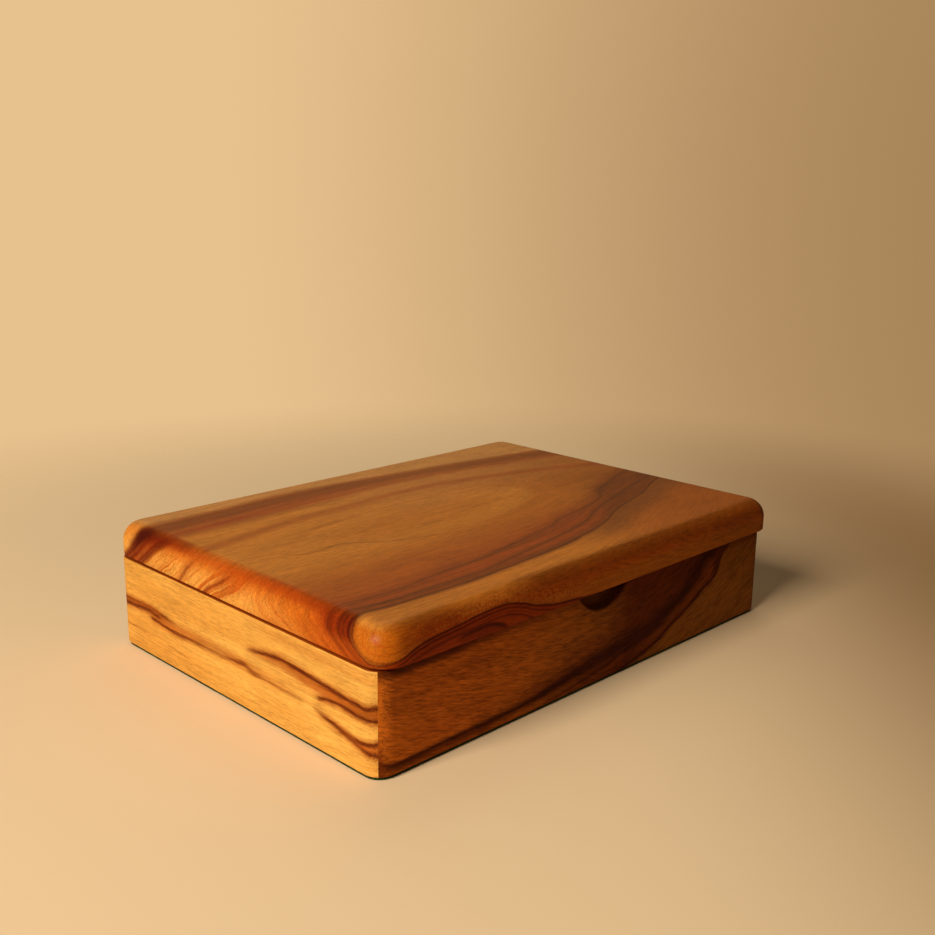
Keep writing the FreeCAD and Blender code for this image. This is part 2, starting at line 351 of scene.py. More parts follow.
# %% Lid colours and lines
LID_LOW, LID_HIGH = [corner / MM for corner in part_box("lid_panel")]
LID_RANGE = (LID_LOW.y, LID_HIGH.y)
END_EDGE = (-148, -141)
FRONT_EDGE = (-109, -102)
HEART_MIDDLE = (-28, 2)
HEART_HALF = (90, 30)
REAR_LAYERS_MM = 26
LID_LAYERS_MM = 160
SPECK_SIZE = (1.2, 1.2, 2.0)
LID_EDGE_COAT = 0.12
WORN_BELOW_MM = (0.02, 0.9)
LID_TONES = {
    "gold": ((0.455, 0.146, 0.014), (0.70, 0.290, 0.046), (0.36, 0.090, 0.007)),
    "brown": ((0.355, 0.092, 0.006), (0.52, 0.120, 0.008), (0.32, 0.050, 0.002)),
    "dull": ((0.155, 0.036, 0.002), (0.36, 0.090, 0.008), (0.15, 0.027, 0.001)),
    "red": ((0.255, 0.038, 0.002), (0.37, 0.040, 0.002), (0.27, 0.029, 0.001)),
    "dark": ((0.140, 0.032, 0.002), (0.12, 0.009, 0.001), (0.14, 0.014, 0.001)),
    "line": ((0.032, 0.005, 0.001), (0.045, 0.003, 0.001), (0.060, 0.006, 0.001)),
}
CORNER_TONE = (0.46, 0.105, 0.004)
REAR_SHEEN_GOLD = (0.487, 0.197, 0.044)
SHADE_BROWN = (0.10, 0.042, 0.006)
REAR_OUTER = {-151: 87, -100: 88, -60: 90, -20: 88, 20: 84, 60: 79, 100: 73, 151: 64}
REAR_INNER = {-151: 57, -110: 59.5, -80: 61, -40: 62, 0: 64, 40: 62, 80: 56, 120: 49, 151: 43}
FRONT_LINE = {
    -151: -84, -130: -88, -100: -89, -80: -89.2, -50: -87.5, -20: -85, -5: -83.5, 10: -80.5,
    30: -76, 45: -71, 55: -66, 70: -60, 90: -54, 110: -48, 125: -41, 151: -33,
}
SECOND_LINE = {
    -151: -77, -130: -82.5, -100: -83.5, -70: -83.5, -55: -82, -30: -78, 0: -73, 30: -66, 60: -53,
    151: -26,
}
INNER_LINE = {
    -151: -70, -110: -75, -85: -72, -65: -71, -48: -69.5, -20: -64, 0: -60, 15: -57, 25: -53,
    60: -46, 80: -38, 90: -29, 105: -23, 130: -14, 151: -8,
}
FAINT_RING = {
    -151: 30, -140: 33, -120: 36, -100: 40, -80: 43, -40: 45, 0: 47.5, 25: 46, 50: 41, 80: 34,
    110: 25, 151: 10,
}
WANDERING_LINE = {
    -151: 6, -122: 3, -116: -5, -106: -7, -88: -6, -80: -10, -72: -17, -60: -22, -45: -27,
    -25: -32, 20: -40, 151: -40,
}
WANDERING_STRENGTH = {-151: 0, -125: 0.2, -110: 0.5, -70: 0.5, -40: 0.35, -15: 0, 151: 0}
FRONT_DIP = {
    -151: 0.1, -145: 0.55, -138: 0.9, -130: 1.36, -120: 1.72, -110: 1.97, -100: 2.28, -90: 2.58,
    -80: 2.66, -72: 2.34, -65: 1.79, -58: 1.17, -50: 0.82, -42: 0.61, -27: 0.46, -10: 0.3,
    151: 0.2,
}
DIP_RANGE = (0.0, 4.0)
FRONT_DIP_GROWTH = 0.06
REAR_DIP_GROWTH = 0.048
REAR_INNER_DIP = 1.4
END_ARCS = ((29.0, 0.95), (-5.0, 1.55))
LENS = {-151: 52, -110: 54.6, -102: 56.6, -95: 57, -88: 57, -83: 56, -78: 54, -72: 51, 151: 50}
LENS_RANGE = (40.0, 70.0)
LENS_STRENGTH = {-151: 0, -112: 0, -104: 0.8, -85: 1, -76: 0.8, -70: 0, 151: 0}
print("lid lines drawn on", [round(v) for v in LID_LOW], [round(v) for v in LID_HIGH])

# %% [markdown]
# The recipe starts with the plain wood: a pale heart at the middle of the top and a browner ring
# round it. The end is cut across the grain and lit from the side, so its gold is paler. The front
# edge gets little of the lamp's light, and its mixtures are darker and redder: partly the wood,
# partly painted shade. Each tone therefore has three mixtures, for the top, the left end and the
# front edge. A coat of the lid names its tone, or brings a colour of its own.


# %% Lid tones and plain wood
def lid_curve(x, points):
    return drawn_curve(x, points, *LID_RANGE)


def lid_tones(on_end, on_front):
    """Each named tone as it is at a point, between its mixtures for top, end and front edge."""
    tones = {}
    for name, (top, end, front) in LID_TONES.items():
        tones[name] = mix(on_front, mix(on_end, top, end), front)
    # On the top, the gold behind the rear band is the greyer painted sheen.
    tones["behind_band_sheen"] = mix(on_end, REAR_SHEEN_GOLD, tones["gold"])
    return tones


def plain_coats(x, z, top, on_top, on_end, on_front, sway):
    """The wood between the dark layers, with painted sheen at the back and some painted shade at the
    right.
    """
    heart = oval(x, top, HEART_MIDDLE, HEART_HALF) + 0.4 * (sway - 0.5)
    past_heart = rise(heart, 0.85, 1.1) * rise(x, -90, 60)
    heart_ring = near(heart - 0.85, 0.08, 0.08) * rise(top, 5, 20)
    rear_sheen = rise(top, -10, 60) * rise(x, -90, 20)
    low_front = on_front * fall(z, 60, 65)
    kept_bright = (1 - 0.6 * rise(top, -30, 20)) * (1 - 0.7 * low_front)
    return (
        (on_top * past_heart * 0.8, "brown"),
        (on_top * fall(heart, 0.1, 0.6) * 0.4, "brown"),
        (on_top * heart_ring * 0.5, "brown"),
        (on_top * fall(top, -66, -22) * 0.55, "red"),
        (on_end * rise(z, 58, 67) * 0.9, "brown"),
        (on_end * rise(z, 62, 70) * 0.45, "red"),
        (on_front * fall(z, 58, 64), "gold"),
        # Painted sheen: a greyer gold towards the back of the top stands for the reflection on the
        # oil.
        (on_top * rear_sheen * 0.45, REAR_SHEEN_GOLD),
        # Darker and duller towards the right end: partly the wood, partly painted shade where the
        # light falls off.
        (rise(x, 40, 140) * kept_bright * 0.8, "dull"),
    )


def ring_coats(x, top, on_end):
    """A faint ring behind the heart, and one thin dark line that wanders across it."""
    faint = near(top - lid_curve(x, FAINT_RING), 4.0, 4.0) * (1 - on_end)
    wandering = near(top - lid_curve(x, WANDERING_LINE), 0.8, 0.8)
    strength = drawn_curve(x, WANDERING_STRENGTH)
    return (faint * 0.55, "red"), (wandering * strength, "dark")


print("lid tones:", ", ".join(LID_TONES))

# %% [markdown]
# On the left end the growth layers are cut across and show as short slanted arcs, which lean one
# way at the back and the other way at the front. Where the top rolls over to the end, the wood is
# redder, and darker towards both corners.


# %% The lid's left end
def end_coats(x, y, z, below, on_end, sway):
    lean = 1.4 - 2.8 * fall(y, -55, 15)
    drift = 5 * (sway - 0.5)
    ring = y - lean * below + drift
    rings = layering(z, ring, 3.4)
    fine_rings = layering(z, ring + 40, 1.1)
    rust = near(y + 2, 12, 10) * near(below - 5, 6, 4)
    rolled = fall(x, -144, -140.5) * fall(below, 1.5, 5.5)
    coats = [
        (on_end * rise(rings, 0.46, 0.66) * 0.8, "brown"),
        (on_end * rise(rings, 0.54, 0.68) * 0.35, "red"),
        (on_end * rise(fine_rings, 0.52, 0.62) * 0.3, "red"),
        (on_end * rust * 0.4, "red"),
        (rolled * (0.8 - 0.35 * near(y - 15, 28, 14)), "red"),
        (rolled * fall(y, -75, -40) * 0.5, "dark"),
        (rolled * rise(y, 28, 55) * 0.6, "dark"),
        (on_end * fall(y, -80, -48) * (0.75 - 0.35 * rise(below, 6, 13)), "red"),
    ]
    shown = on_end * rise(below, 1, 9)
    for start, slope in END_ARCS:
        off = y - start - slope * below + drift
        coats.append((near(off, 4.0, 3.5) * shown * 0.4, "red"))
        coats.append((near(off, 1.3, 1.3) * shown * 0.55, "dark"))
    return coats


print("arcs drawn on the lid's end:", len(END_ARCS))

# %% [markdown]
# A broad dark band runs along the back. One number shades it, a point's share of the way from the
# band's inner to its outer line: red first, then dark, then gold behind it. On the end the band
# shows two dark edges with red between.


# %% The band along the back
def rear_coats(x, y, below, outer, on_end, stray):
    inner = lid_curve(x, REAR_INNER) + REAR_INNER_DIP * below
    inside = (y + stray - inner) / (outer - inner)
    layers = layering(x, REAR_LAYERS_MM * inside, 2.2)
    right = rise(x, -60, 60)
    red = rise(inside, -0.26, 0.22) * fall(inside, 0.78 + 0.12 * on_end, 1.2)
    dark = rise(inside - 0.50 + 0.22 * right, -0.3, 0.3) * fall(inside, 0.66, 1.15)
    behind = rise(inside, 0.85, 1.12)
    red_end = on_end * red
    near_top = fall(below, 2, 9)
    outer_edge = near(inside - 0.88, 0.20, 0.16) * (1 - 0.5 * rise(below, 6, 14))
    inner_edge = near(inside - 0.08, 0.14, 0.14) * rise(below, 1, 6)
    return (
        # On the top this tone carries the painted sheen.
        (behind, "behind_band_sheen"),
        (behind * on_end * fall(below, 1, 12) * 0.7, "brown"),
        (red * (0.45 + 0.8 * layers) * (1 - 0.3 * right), "red"),
        (dark * (1 - 0.25 * right) * (0.4 + 0.7 * layers) * (1 - on_end), "dark"),
        (red_end * 0.45, "dark"),
        (red_end * near_top * 0.9, "dark"),
        (red_end * near_top * rise(inside, 0.3, 0.8) * 0.6, "line"),
        (red_end * rise(layers, 0.5, 0.66) * 0.6, "dark"),
        ((outer_edge + 0.6 * inner_edge) * on_end * 0.85, "line"),
    )


print("rear band in mm at the left:", REAR_OUTER[-151] - REAR_INNER[-151])

# %% [markdown]
# Three dark lines run from the left end along the front and sweep off to the back at the right.
# Between them the wood is red and layered, and in front of them gold again. Each line is a thin
# stroke with a soft halo. The front edge also has a golden and a red patch with fine specks, and a
# small lens of dark wood low down.


# %% The lines along the front
def front_coats(x, below, top, front, on_top, on_end, on_front):
    """The wood in front of the lines and between them, and the strokes themselves."""
    inner = lid_curve(x, INNER_LINE)
    layers = layering(x, top - front, 1.7)
    broad = layering(x, top - front, 5.0)
    right = rise(x, 10, 90)
    ahead = rise(front - top, 0, 3)
    ahead_on_top = ahead * on_top
    corner = ahead * fall(x, -147, -124) * rise(below, 0.2, 3.5)
    behind = rise(top - front, -0.6, 1.6)
    low_end = fall(x, -147, -128) * rise(below, 5, 12)
    faded = 1 - 0.7 * low_end
    between = behind * rise(inner - top, -12, 4) * faded
    coats = [
        (ahead * (1 - on_front) * 0.8, "gold"),
        (ahead_on_top * rise(x, -20, 110) * 0.85, "brown"),
        (ahead_on_top * rise(x, 30, 140) * 0.2, "dull"),
        (ahead_on_top * fall(front - top, 6, 24) * rise(x, 0, 55) * 0.75, SHADE_BROWN),
        (ahead_on_top * rise(x, -10, 60) * 0.35, "red"),
        (corner * 0.9, CORNER_TONE),
        (corner * rise(layers, 0.5, 0.66) * 0.45, "red"),
        (behind * on_front * 0.9, "red"),
        (between * (0.4 + 0.9 * layers), "red"),
        (between * rise(layers, 0.5, 0.68) * 0.7, "dark"),
        (behind * on_front * rise(layers, 0.5, 0.66) * 0.4, "dark"),
        (between * right * (0.25 + 0.7 * broad), "dark"),
        (between * right * right * rise(broad, 0.35, 0.7) * 0.35, "line"),
    ]
    strokes = (
        (front, 0.8, 0.95),
        (lid_curve(x, SECOND_LINE), 0.8, 0.75),
        (inner, 0.9, 0.6),
        (front - 2.4 * fall(x, -150, -138), 0.4, 0.6),
        (front + 3.4 * (1 - on_front), 0.4, 0.5),
    )
    width = 1 + 0.7 * on_end + 0.7 * on_front
    halo_share = (0.6 - 0.45 * on_front) * faded
    line_share = (1 - 0.4 * on_top) * (1 - 0.4 * low_end)
    for line, half, strength in strokes:
        off = (top - line) / width
        coats.append((near(off, half * 3, half * 3) * halo_share * strength, "dark"))
        coats.append((near(off, half, half) * line_share * strength, "line"))
    return coats


def lens_coats(x, z, on_front):
    lens = drawn_curve(x, LENS, *LENS_RANGE)
    in_lens = drawn_curve(x, LENS_STRENGTH) * on_front
    return (
        (rise(lens - z, -0.5, 1.5) * in_lens * 0.6, "dark"),
        (near(z - lens, 1.1, 0.9) * in_lens * 0.9, "line"),
    )


def speckle_coats(x, y, z, on_front):
    golden = near(x + 84, 26, 16) * rise(z, 61, 67)
    reddish = near(x + 122, 17, 12) * rise(z, 57, 63)
    specks = noise((x, y, z), SPECK_SIZE, 2.0, 0.6)
    speckled = on_front * fall(x, -60, 20)
    return (
        (on_front * golden * 0.85, "gold"),
        (on_front * reddish * 0.7, "red"),
        (speckled * fall(specks, 0.38, 0.5) * 0.5, "gold"),
        (speckled * rise(specks, 0.48, 0.60) * 0.75, "red"),
    )


def rolled_coat(x, y, below):
    """Darker and browner where the lid's top rolls over to its front edge."""
    rolled = fall(y, -104, -100) * fall(below, 4, 9)
    strength = rise(x, -78, -45) * (0.85 - 0.35 * rise(x, 60, 130)) + 0.45 * near(x + 118, 14, 10)
    return rolled * strength, "dull"


print("points of the first front line:", len(FRONT_LINE))

# %% [markdown]
# The coats are laid from the plain wood to the dark lines, and the browner rolled edge comes last.
# The oil is thinner on the rounded edges, where hands take hold of the lid, so the shader's coat is
# wired to be weaker there.


# %% Lid finish
def lid_wood():
    shader, (x, y, z) = start_finish("lid_wood", [nodes["lid_panel"]])
    below = LID_HIGH.z - z
    stray, sway = waver((x, y, z))
    dip = drawn_curve(x, FRONT_DIP, *DIP_RANGE) + FRONT_DIP_GROWTH * below
    top = y + stray + dip * below * fall(y, -70, -20)
    rear = lid_curve(x, REAR_OUTER) + REAR_DIP_GROWTH * below * below
    front = lid_curve(x, FRONT_LINE)
    on_end = fall(x, *END_EDGE)
    on_front = fall(y, *FRONT_EDGE)
    on_top = (1 - on_end) * (1 - on_front)
    tones = lid_tones(on_end, on_front)
    coats = (
        *plain_coats(x, z, top, on_top, on_end, on_front, sway),
        *ring_coats(x, top, on_end),
        *end_coats(x, y, z, below, on_end, sway),
        *speckle_coats(x, y, z, on_front),
        *rear_coats(x, y, below, rear, on_end, stray),
        *front_coats(x, below, top, front, on_top, on_end, on_front),
        *lens_coats(x, z, on_front),
        rolled_coat(x, y, below),
    )
    ground = mix(rise(top, -55, -10), tones["brown"], tones["gold"])
    figure = lay(ground, *((mask, tones.get(tone, tone)) for mask, tone in coats))
    layer = LID_LAYERS_MM * (top - 0.5 * (rear + front)) / (rear - front)
    finish_wood(shader, figure, (x, y, z), layer, LID_GRAIN)
    worn = rise(below, *WORN_BELOW_MM)
    coat = LID_GRAIN["coat"] - (LID_GRAIN["coat"] - LID_EDGE_COAT) * worn
    coat.plug(shader, "Coat Weight")


lid_wood()
print("lid finish nodes", len(bpy.data.materials["lid_wood"].node_tree.nodes))

# %% [markdown]
# ## The front board's wood
#
# The front is golden brown with short dark pores that fall a little to the right. A dark line lies
# along its lower edge at the left, broadens and sweeps up to the top at the right, with a thin line
# under it, and the wood right of that line is plain again.

# %% Front colours and lines
FRONT_LOW, FRONT_HIGH = [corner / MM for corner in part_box("front_board")]
BOARD_RANGE = (-10.0, 60.0)
LAYER_TILT = 0.5
# The front gets little of the lamp's light, and these tones are darker and redder than the pale
# end's: partly the board's own wood, partly painted shade.
FRONT_GOLD = (0.50, 0.114, 0.0075)
FRONT_BROWN = (0.38, 0.080, 0.0065)
FRONT_OLIVE_SHADE = (0.225, 0.066, 0.0065)
FRONT_RED = (0.110, 0.017, 0.0012)
FRONT_DARK = (0.042, 0.006, 0.0010)
GAP_SHADE_TONE = (0.26, 0.046, 0.004)
SWEEP = {
    -150: 13, -147: 9, -141: 6, -130: 5.8, -115: 6.5, -80: 6.8, -60: 7, -45: 8.5, -30: 10.5,
    -15: 12.5, 0: 14.3, 20: 17, 40: 19.5, 55: 22, 65: 26, 72: 32, 80: 38, 86: 43, 92: 47.5,
    100: 53, 110: 58, 150: 60,
}
SWEEP_SPREAD = {-150: 1.0, -60: 1.2, -40: 1.8, -20: 3, 0: 4, 30: 5.5, 60: 7, 90: 7, 150: 7}
SPREAD_RANGE = (0.0, 10.0)
UNDER_LINE = {
    -150: -9, 0: -3, 12: 0, 20: 2.3, 30: 4, 40: 6.5, 50: 10, 60: 15, 70: 19, 80: 23.5, 90: 28.5,
    98: 32, 103: 36, 105: 40, 107: 45, 112: 49, 120: 55, 150: 59,
}
FIBRE_FALL = {-150: 0, -10: -35, 15: -38, 40: -34, 150: 5}
FIBRE_FALL_RANGE = (-40.0, 10.0)
EYE_MIDDLE = (93.0, 40.0)
EYE_HALF = (7.0, 6.0)
PULL_HALF_MM = 20.0
print("front wood drawn on", [round(v) for v in FRONT_LOW], [round(v) for v in FRONT_HIGH])

# %% [markdown]
# The ground is laid first and the redder wood round the sweep over it. The ground's darker right
# half is partly painted shade, and the shadow under the lid's edge is painted. Then come the sweep
# and the thin line, and last the painted shade in the finger pull, the foot of the left corner and
# the painted shade of the gap on the board's top edge.


# %% Front finish
def on_rim(z, reach_down=0.0):
    """1 on the top edges of the boards, which the lid covers; the gap's painted shade goes there."""
    return rise(z + reach_down, FRONT_HIGH.z - 0.3, FRONT_HIGH.z - 0.1)


def ground_coats(x, z, off_sweep, spread, over_line, broad, stray):
    """The olive right half, partly painted shade, and the redder wood by the pull and the sweep.

    The redder band under the top edge and the dark patch at the left are the lid's painted shadow.
    """
    from_top = FRONT_HIGH.z - z
    reach = 2.6 * spread - off_sweep
    beside_pull = rise(x + 0.3 * stray, -4, 28) * over_line
    above = rise(reach, 0, 14) * rise(x, -60, 30) * over_line
    shaded = rise(reach, -18, 8) * rise(off_sweep, -3, 2) * rise(x, -95, -40)
    # Painted shadow of the lid on the front, darkest towards the left.
    lid_shadow_left = near(x + 118, 26, 14) * fall(from_top, 1.5, 5)
    return (
        # The right half olive and darker: partly the wood, partly painted shade where the light falls
        # off.
        (rise(x, -120, 40), FRONT_OLIVE_SHADE),
        (beside_pull * (0.7 + 0.5 * broad), FRONT_RED),
        (above * (0.35 + 0.6 * broad), FRONT_RED),
        (shaded * (1 - 0.5 * rise(x, -10, 20)) * (0.55 + 0.6 * broad), FRONT_RED),
        # Painted shadow of the lid's overhang along the board's top.
        (fall(from_top, 1, 6) * (0.85 - 0.4 * rise(x, -110, -60)), FRONT_RED),
        (lid_shadow_left * 0.6, FRONT_DARK),
    )


def sweep_coats(x, height, off_sweep, off_under, spread, over_line, layers, broad):
    """The dark sweep, the layered wood under it, and the thin line below."""
    below_sweep = fall(off_sweep, -2, 1) * over_line
    sweep_depth = 0.7 - 0.25 * rise(x, -90, -60) + 0.5 * rise(x, -60, 10)
    dark_layers = rise(layers, 0.48, 0.66) * rise(x, -60, 0)
    in_eye = fall(oval(x, height, EYE_MIDDLE, EYE_HALF), 0.1, 1.3)
    lit_band = near(off_under - 4, 3.2, 3.0) * rise(x, 15, 50) * fall(x, 94, 102)
    return (
        (below_sweep * (0.35 + 0.8 * layers) * sweep_depth, FRONT_RED),
        (near(off_sweep, spread, 0.8 * spread) * (0.45 + 0.7 * broad), FRONT_DARK),
        (near(off_sweep + 0.6, 1.9, 1.9) * 0.7, FRONT_DARK),
        (below_sweep * dark_layers * 0.7, FRONT_DARK),
        (in_eye * 0.14, FRONT_BROWN),
        (lit_band * 0.25, FRONT_BROWN),
        (near(off_under, 2.0, 2.0) * 0.6, FRONT_RED),
        (near(off_under, 1.0, 0.8) * 0.9, FRONT_DARK),
    )


def edge_coats(x, y, z):
    inward = y - FRONT_LOW.y
    pull_painted_shade = near(x, PULL_HALF_MM, 1) * rise(inward, 0.5, 2.5) * fall(inward, 8.5, 9.5)
    left_foot = fall(x, -149, -141) * fall(z, 8, 34)
    return (
        # Painted shade in the finger pull, darkest at the top under the lid.
        (pull_painted_shade * (0.3 + 0.45 * rise(z, 42, 49)), FRONT_DARK),
        (left_foot * (0.6 + 0.35 * fall(z, 8, 18)), FRONT_RED),
        # Painted shade of the gap under the lid.
        (on_rim(z), GAP_SHADE_TONE),
    )


def front_wood():
    shader, (x, y, z) = start_finish("front_wood", [nodes["front_board"]])
    stray, sway = waver((x, z, y))
    height = z + stray + LAYER_TILT * (y - FRONT_LOW.y)
    sweep = drawn_curve(x, SWEEP, *BOARD_RANGE)
    spread = drawn_curve(x, SWEEP_SPREAD, *SPREAD_RANGE)
    under = drawn_curve(x, UNDER_LINE, *BOARD_RANGE)
    off_sweep = height - sweep
    off_under = height - under
    over_line = rise(off_under, -0.5, 1.0)
    layer = height - 0.5 * (sweep + under)
    layers = layering(x, layer, 2.0)
    broad = layering(x, layer, 5.5)
    figure = lay(
        mix(rise(sway, 0.35, 0.7), FRONT_GOLD, FRONT_BROWN),
        *ground_coats(x, z, off_sweep, spread, over_line, broad, stray),
        *sweep_coats(x, height, off_sweep, off_under, spread, over_line, layers, broad),
        *edge_coats(x, y, z),
    )
    fibre_height = z - drawn_curve(x, FIBRE_FALL, *FIBRE_FALL_RANGE)
    finish_wood(shader, figure, (x, fibre_height, y), layer, FRONT_GRAIN)


front_wood()
print("front finish nodes", len(bpy.data.materials["front_wood"].node_tree.nodes))

# %% [markdown]
# ## The end boards and the back
#
# The left end is pale golden wood with a few dark brown streaks, which thin out and end inside the
# board. Each streak is a drawn line, how strong it is along the board, and its half width, and a
# patch is the browner wood between two lines. The right end and the back are out of sight in the
# picture, so they get streaks of the same kind, drawn for them.

# %% Streaks of the left end
UPPER_EDGE = {-110: 27, 50: 26.5, 62: 27.2, 70: 28.2, 80: 28.6, 90: 28.4, 104: 28, 110: 27.8}
LOWER_EDGE = {-110: 25, 66: 25.4, 72: 25.8, 78: 26.3, 84: 26.3, 90: 26, 104: 25.2, 110: 25}
LOW_STREAK = {
    -110: 19.5, -70: 20, -55: 20.5, -40: 21.3, -25: 22, -15: 22.5, -8: 23.8, 0: 23.5, 10: 22.5,
    20: 22, 35: 22, 50: 21.5, 65: 22, 72: 22.5, 80: 23.2, 110: 24,
}
WAVE_STREAK = {
    -110: 34.6, -106: 34.2, -103: 33.6, -98: 32.8, -90: 33, -82: 33.4, -70: 34, -58: 35, -48: 35.8,
    -38: 36.3, -30: 35.8, -22: 34.6, -15: 33.5, -8: 32.5, 110: 30,
}
TONGUE = {
    -110: 28.5, -102: 28, -95: 27.6, -88: 28, -78: 28.5, -70: 27.5, -66: 26.5, -60: 25.5, 110: 25,
}
WEDGE_LOW = {-110: 11, -100: 12.5, -95: 13.5, -88: 15, -80: 16.8, -70: 18.6, -62: 20, 110: 26}
WEDGE_HIGH = {-110: 18.8, -106: 17.8, -102: 16.7, -97: 15.8, -92: 15.6, -84: 17.5, -64: 20, 110: 26}
UNDER_WAVE = {-110: 30, -98: 28.5, -70: 29, -48: 30.5, -30: 31.5, -10: 31, 110: 29}
OVER_LOW = {-110: 24, -40: 25.5, 0: 27.5, 30: 28, 60: 28, 110: 28}
SHORT_LINE = {-110: 13, 45: 11.5, 62: 12.6, 110: 13.5}
TOP_BAND_LOW = {-110: 44, 110: 45.5}
TOP_BAND_HIGH = {-110: 49.5, 110: 48.5}
LEFT_STREAKS = [
    (UPPER_EDGE, {-110: 0, 45: 0, 55: 0.35, 66: 0.75, 80: 0.9, 110: 0.9}, 0.8),
    (LOWER_EDGE, {-110: 0, 63: 0, 70: 0.9, 78: 1, 110: 1}, 1.0),
    (LOW_STREAK, {
        -110: 0, -62: 0, -50: 0.3, -25: 0.45, -12: 0.75, 0: 0.8, 12: 0.45, 25: 0.5, 40: 0.7,
        55: 0.9, 66: 1, 76: 0.8, 84: 0, 110: 0,
    }, 0.85),
    (WAVE_STREAK, {-110: 1, -30: 1, -20: 0.8, -12: 0.4, -4: 0, 110: 0}, 0.95),
    (TONGUE, {-110: 1, -72: 1, -66: 0.7, -60: 0, 110: 0}, 0.9),
    (WEDGE_LOW, {-110: 1, -85: 1, -72: 0.8, -63: 0.3, -56: 0, 110: 0}, 0.95),
    (WEDGE_HIGH, {-110: 1, -97: 1, -90: 0.5, -80: 0.15, -70: 0, 110: 0}, 0.9),
    (SHORT_LINE, {-110: 0, 38: 0, 48: 0.3, 58: 0.3, 66: 0, 78: 0.1, 90: 0.3, 110: 0.5}, 0.35),
]
LEFT_PATCHES = [
    (LOWER_EDGE, UPPER_EDGE, {-110: 0, 52: 0, 66: 0.8, 80: 1, 110: 1}),
    (UNDER_WAVE, WAVE_STREAK, {-110: 0.9, -70: 0.9, -45: 0.75, -28: 0.55, -12: 0, 110: 0}),
    (LOW_STREAK, OVER_LOW, {-110: 0, -60: 0, -30: 0.3, 0: 0.4, 30: 0.5, 45: 0.3, 60: 0, 110: 0}),
    (LOW_STREAK, UPPER_EDGE, {-110: 0, 5: 0, 30: 0.35, 50: 0.7, 65: 0.85, 74: 0.5, 82: 0, 110: 0}),
    (TONGUE, WAVE_STREAK, {-110: 1, -95: 0.9, -75: 0.55, -55: 0.25, -40: 0.1, -25: 0, 110: 0}),
    (WEDGE_LOW, WEDGE_HIGH, {-110: 0.9, -96: 1, -85: 0.7, -75: 0.4, -65: 0, 110: 0}),
    (TOP_BAND_LOW, TOP_BAND_HIGH, {-110: 0.35, -40: 0.3, -5: 0, 110: 0}),
]
print("left end: streaks", len(LEFT_STREAKS), "and browner patches", len(LEFT_PATCHES))

# %% Streaks of the right end and the back
BACK_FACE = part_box("back_board")[1].y / MM
RIGHT_STREAKS = [
    ({-110: 40, -60: 37, -10: 38, 50: 33, 110: 30},
     {-110: 1, -50: 0.8, -20: 0.3, 20: 0.7, 60: 0.9, 110: 0.6}, 0.9),
    ({-110: 33, -70: 31, -30: 26, 110: 22}, {-110: 0.9, -60: 0.8, -25: 0, 110: 0}, 0.8),
    ({-110: 8, 20: 11, 60: 14, 110: 19}, {-110: 0, 0: 0, 40: 0.7, 80: 1, 110: 1}, 1.0),
]
RIGHT_PATCHES = [
    (RIGHT_STREAKS[1][0], RIGHT_STREAKS[0][0], {-110: 0.8, -60: 0.7, -30: 0, 110: 0}),
]
BACK_STREAKS = [
    ({-150: 20, -80: 24, -10: 31, 60: 34, 150: 30}, {-150: 0.9, 0: 1, 150: 0.8}, 1.3),
    ({-150: 12, -80: 17, -10: 24, 60: 27, 150: 24}, {-150: 1, 0: 0.8, 150: 1}, 1.0),
    ({-150: 44, 0: 46, 150: 41}, {-150: 0.8, -40: 0.2, 40: 0.6, 150: 0.9}, 0.7),
]
BACK_PATCHES = [(BACK_STREAKS[1][0], BACK_STREAKS[0][0], {-150: 0.9, 0: 0.8, 150: 0.9})]
print("right end: streaks", len(RIGHT_STREAKS), "and on the back", len(BACK_STREAKS))

# %% [markdown]
# One recipe serves the three streaked boards. The streaks are broken up by fine wisps along the
# grain, so that their edges look fibrous. The lid covers the boards' top edges, which are painted
# browner as the shade in the gap under it, down to the eased edge on the inside.

# %% Streaked boards
PALE_WOOD = (
    (0.76, 0.378, 0.070), (0.63, 0.272, 0.042), (0.38, 0.086, 0.008), (0.120, 0.020, 0.003),
)
# The back takes the front's tones, with their painted shade.
BROWN_WOOD = (FRONT_GOLD, FRONT_BROWN, FRONT_RED, FRONT_DARK)
RAGGED_SIZE = (5.0, 1.3, 1.3)
WISP_SIZE = (16.0, 0.55, 0.55)
PATCH_EDGE_MM = 1.2
HALO_WIDTHS = 2.4
INNER_RIM_MM = 1.2


